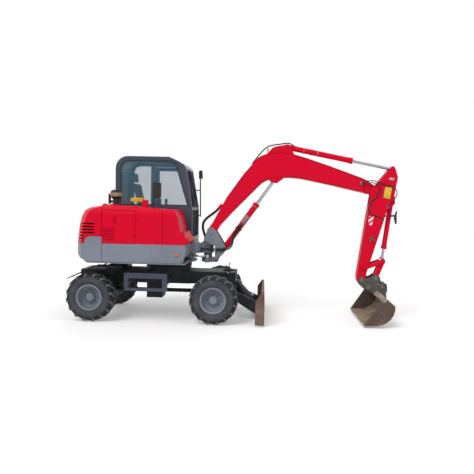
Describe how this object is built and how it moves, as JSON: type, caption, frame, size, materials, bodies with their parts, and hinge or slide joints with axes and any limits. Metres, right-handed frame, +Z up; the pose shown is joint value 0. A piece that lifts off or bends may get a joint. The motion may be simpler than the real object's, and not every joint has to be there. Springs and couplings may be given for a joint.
{
  "type": "wheeled excavator",
  "caption": "Compact wheeled excavator with slewing upper body, cab, swing boom, arm, ditching bucket and dozer blade, all joints moving.",
  "frame": {"origin": "ground plane under the middle of the bounding box", "axes": "+X forward along the boom, +Y to the left, +Z up"},
  "size_m": [5.684, 1.9054, 3.148],
  "materials": {
    "red_paint": "gloss",
    "slate_paint": "satin",
    "cab_paint": "satin",
    "black_paint": "satin",
    "tyre": "matte",
    "rim_paint": "satin",
    "rusty_steel": "rough",
    "chrome": "polished",
    "glass": "clear",
    "black_plastic": "matte",
    "engine_iron": "rough"
  },
  "bodies": {
    "chassis": {"chassis_frame": "black_paint", "slew_ring": "black_paint", "rear_axle": "black_paint", "front_axle": "black_paint", "drive_line": "black_paint", "side_steps": "cab_paint", "rear_mudguards": "black_paint", "lashing_eyes": "black_paint"},
    "knuckle_left": {"knuckle_left": "black_paint"},
    "knuckle_right": {"knuckle_right": "black_paint"},
    "tie_rod": {"tie_rod": "black_paint"},
    "blade": {"moldboard": "rusty_steel", "blade_arms": "rusty_steel"},
    "blade_barrel": {"blade_barrel": "rusty_steel"},
    "blade_rod": {"blade_rod": "chrome"},
    "upper": {"upper_frame": "slate_paint", "turntable": "slate_paint", "counterweight": "slate_paint", "skirt_panels": "slate_paint", "body_cover": "red_paint", "front_cover": "red_paint", "engine": "engine_iron", "cab_frame": "cab_paint", "cab_glass": "glass", "seat": "black_plastic", "controls": "black_plastic", "precleaner": "black_plastic", "mirrors": "black_plastic", "swing_hoses": "black_plastic"},
    "hood": {"engine_hood": "red_paint"},
    "side_door": {"side_door": "red_paint"},
    "cab_door": {"cab_door": "cab_paint", "door_glass": "glass"},
    "swing_barrel": {"swing_barrel": "red_paint"},
    "swing_rod": {"swing_rod": "chrome"},
    "post": {"swing_post": "slate_paint", "lift_hose": "black_plastic", "cylinder_hoses": "black_plastic"},
    "boom": {"boom": "red_paint", "top_hose": "black_plastic", "arm_hoses": "black_plastic"},
    "boom_barrel": {"boom_barrel": "red_paint"},
    "boom_rod": {"boom_rod": "chrome"},
    "arm_barrel": {"arm_barrel": "red_paint"},
    "arm_rod": {"arm_rod": "chrome"},
    "arm": {"arm": "red_paint"},
    "bucket_barrel": {"bucket_barrel": "red_paint"},
    "bucket_rod": {"bucket_rod": "chrome"},
    "rocker": {"rocker": "rusty_steel"},
    "bucket_link": {"bucket_link": "rusty_steel"},
    "bucket": {"coupler": "rusty_steel", "bucket": "rusty_steel"},
    "wheel_front_left": {"tyre_front_left": "tyre", "rim_front_left": "rim_paint"},
    "wheel_front_right": {"tyre_front_right": "tyre", "rim_front_right": "rim_paint"},
    "wheel_rear_left": {"tyre_rear_left": "tyre", "rim_rear_left": "rim_paint"},
    "wheel_rear_right": {"tyre_rear_right": "tyre", "rim_rear_right": "rim_paint"}
  },
  "joints": [
    {"name": "slew", "type": "hinge", "parent": "chassis", "child": "upper", "pos_m": [-1.2, 0, 1], "axis": [0, 0, 1], "continuous": true},
    {"name": "boom_swing", "type": "hinge", "parent": "upper", "child": "post", "pos_m": [-0.512, 0, 1.2], "axis": [0, 0, 1], "range_deg": [-50, 80], "deforming": ["swing_hoses"]},
    {"name": "boom_lift", "type": "hinge", "parent": "post", "child": "boom", "pos_m": [-0.448, 0, 1.52], "axis": [0, -1, 0], "range_deg": [-69, 48], "deforming": ["lift_hose"]},
    {"name": "arm_swing", "type": "hinge", "parent": "boom", "child": "arm", "pos_m": [2.465, 0, 2.319], "axis": [0, 1, 0], "range_deg": [-70, 38], "deforming": ["arm_hoses"]},
    {"name": "bucket_dump", "type": "hinge", "parent": "arm", "child": "bucket", "pos_m": [2.261, 0, 0.719], "axis": [0, -1, 0], "range_deg": [-130, 28]},
    {"name": "blade_lift", "type": "hinge", "parent": "chassis", "child": "blade", "pos_m": [-0.05, 0, 0.45], "axis": [0, -1, 0], "range_deg": [-14, 30]},
    {"name": "steer_left", "type": "hinge", "parent": "chassis", "child": "knuckle_left", "pos_m": [-0.32, 0.6, 0.4155], "axis": [0, 0, 1], "range_deg": [-28, 28]},
    {"name": "steer_right", "type": "hinge", "parent": "chassis", "child": "knuckle_right", "pos_m": [-0.32, -0.6, 0.4155], "axis": [0, 0, 1], "range_deg": [-29, 29]},
    {"name": "tie_rod_turn", "type": "hinge", "parent": "knuckle_left", "child": "tie_rod", "pos_m": [-0.54, 0.6, 0.3515], "axis": [0, 0, 1], "range_deg": [-29, 29]},
    {"name": "wheel_front_left", "type": "hinge", "parent": "knuckle_left", "child": "wheel_front_left", "pos_m": [-0.32, 0.7975, 0.4155], "axis": [0, 1, 0], "continuous": true},
    {"name": "wheel_front_right", "type": "hinge", "parent": "knuckle_right", "child": "wheel_front_right", "pos_m": [-0.32, -0.7975, 0.4155], "axis": [0, 1, 0], "continuous": true},
    {"name": "wheel_rear_left", "type": "hinge", "parent": "chassis", "child": "wheel_rear_left", "pos_m": [-2.42, 0.7975, 0.4155], "axis": [0, 1, 0], "continuous": true},
    {"name": "wheel_rear_right", "type": "hinge", "parent": "chassis", "child": "wheel_rear_right", "pos_m": [-2.42, -0.7975, 0.4155], "axis": [0, 1, 0], "continuous": true},
    {"name": "hood_open", "type": "hinge", "parent": "upper", "child": "hood", "pos_m": [-2.2185, 0, 1.996], "axis": [0, 1, 0], "range_deg": [0, 60]},
    {"name": "side_door_open", "type": "hinge", "parent": "upper", "child": "side_door", "pos_m": [-1.6465, -0.914, 1.6], "axis": [0, 0, 1], "range_deg": [0, 75]},
    {"name": "cab_door_open", "type": "hinge", "parent": "upper", "child": "cab_door", "pos_m": [-1.6775, 0.912, 1.9], "axis": [0, 0, 1], "range_deg": [0, 110]},
    {"name": "boom_barrel_tilt", "type": "hinge", "parent": "post", "child": "boom_barrel", "pos_m": [-0.23, 0, 1.215], "axis": [0, -1, 0], "range_deg": [-69.7, 48.79], "deforming": ["cylinder_hoses"]},
    {"name": "boom_rod_slide", "type": "slide", "parent": "boom_barrel", "child": "boom_rod", "axis": [0.5792, 0, 0.8152], "range_m": [-0.4132, 0.28836]},
    {"name": "arm_barrel_tilt", "type": "hinge", "parent": "boom", "child": "arm_barrel", "pos_m": [0.886, 0, 3.073], "axis": [0, -1, 0], "range_deg": [-1.29, 1.54], "deforming": ["top_hose"]},
    {"name": "arm_rod_slide", "type": "slide", "parent": "arm_barrel", "child": "arm_rod", "axis": [0.9813, 0, -0.1925], "range_m": [-0.54631, 0.29794]},
    {"name": "bucket_barrel_tilt", "type": "hinge", "parent": "arm", "child": "bucket_barrel", "pos_m": [2.752, 0, 2.11], "axis": [0, -1, 0], "range_deg": [-2.88, 1.4]},
    {"name": "bucket_rod_slide", "type": "slide", "parent": "bucket_barrel", "child": "bucket_rod", "axis": [-0.1209, 0, -0.9927], "range_m": [-0.11581, 0.52676]},
    {"name": "rocker_turn", "type": "hinge", "parent": "arm", "child": "rocker", "pos_m": [2.3, 0, 0.943], "axis": [0, -1, 0], "range_deg": [-94.2, 21.07]},
    {"name": "link_turn", "type": "hinge", "parent": "rocker", "child": "bucket_link", "pos_m": [2.625, 0, 1.067], "axis": [0, -1, 0], "range_deg": [-12.27, 53.3]},
    {"name": "blade_barrel_tilt", "type": "hinge", "parent": "blade", "child": "blade_barrel", "pos_m": [0.3, 0, 0.34], "axis": [0, -1, 0], "range_deg": [-15.64, 7.83]},
    {"name": "blade_rod_slide", "type": "slide", "parent": "blade_barrel", "child": "blade_rod", "axis": [-0.691, 0, 0.7228], "range_m": [-0.10906, 0.0525]},
    {"name": "swing_barrel_tilt", "type": "hinge", "parent": "upper", "child": "swing_barrel", "pos_m": [-1.35, -0.19, 1.094], "axis": [0, 0, 1], "range_deg": [-3.5, 5]},
    {"name": "swing_rod_slide", "type": "slide", "parent": "swing_barrel", "child": "swing_rod", "axis": [1, 0, 0], "range_m": [-0.14458, 0.22953]}
  ],
  "couplings": [
    {"joint": "steer_right", "follows": "steer_left", "ratio": 1},
    {"joint": "tie_rod_turn", "follows": "steer_left", "ratio": -1},
    {"joint": "boom_barrel_tilt", "follows": "boom_lift", "ratio": 0.99569},
    {"joint": "boom_rod_slide", "follows": "boom_lift", "m_per_rad": 0.34062},
    {"joint": "arm_barrel_tilt", "follows": "arm_swing", "ratio": -0.007766},
    {"joint": "arm_rod_slide", "follows": "arm_swing", "m_per_rad": 0.44471},
    {"joint": "bucket_barrel_tilt", "follows": "bucket_dump", "ratio": 0.014445},
    {"joint": "bucket_rod_slide", "follows": "bucket_dump", "m_per_rad": -0.23084},
    {"joint": "rocker_turn", "follows": "bucket_dump", "ratio": 0.71691},
    {"joint": "link_turn", "follows": "bucket_dump", "ratio": -0.40235},
    {"joint": "blade_barrel_tilt", "follows": "blade_lift", "ratio": -0.48812},
    {"joint": "blade_rod_slide", "follows": "blade_lift", "m_per_rad": -0.20256},
    {"joint": "swing_barrel_tilt", "follows": "boom_swing", "ratio": 0.05},
    {"joint": "swing_rod_slide", "follows": "boom_swing", "m_per_rad": 0.16224}
  ]
}
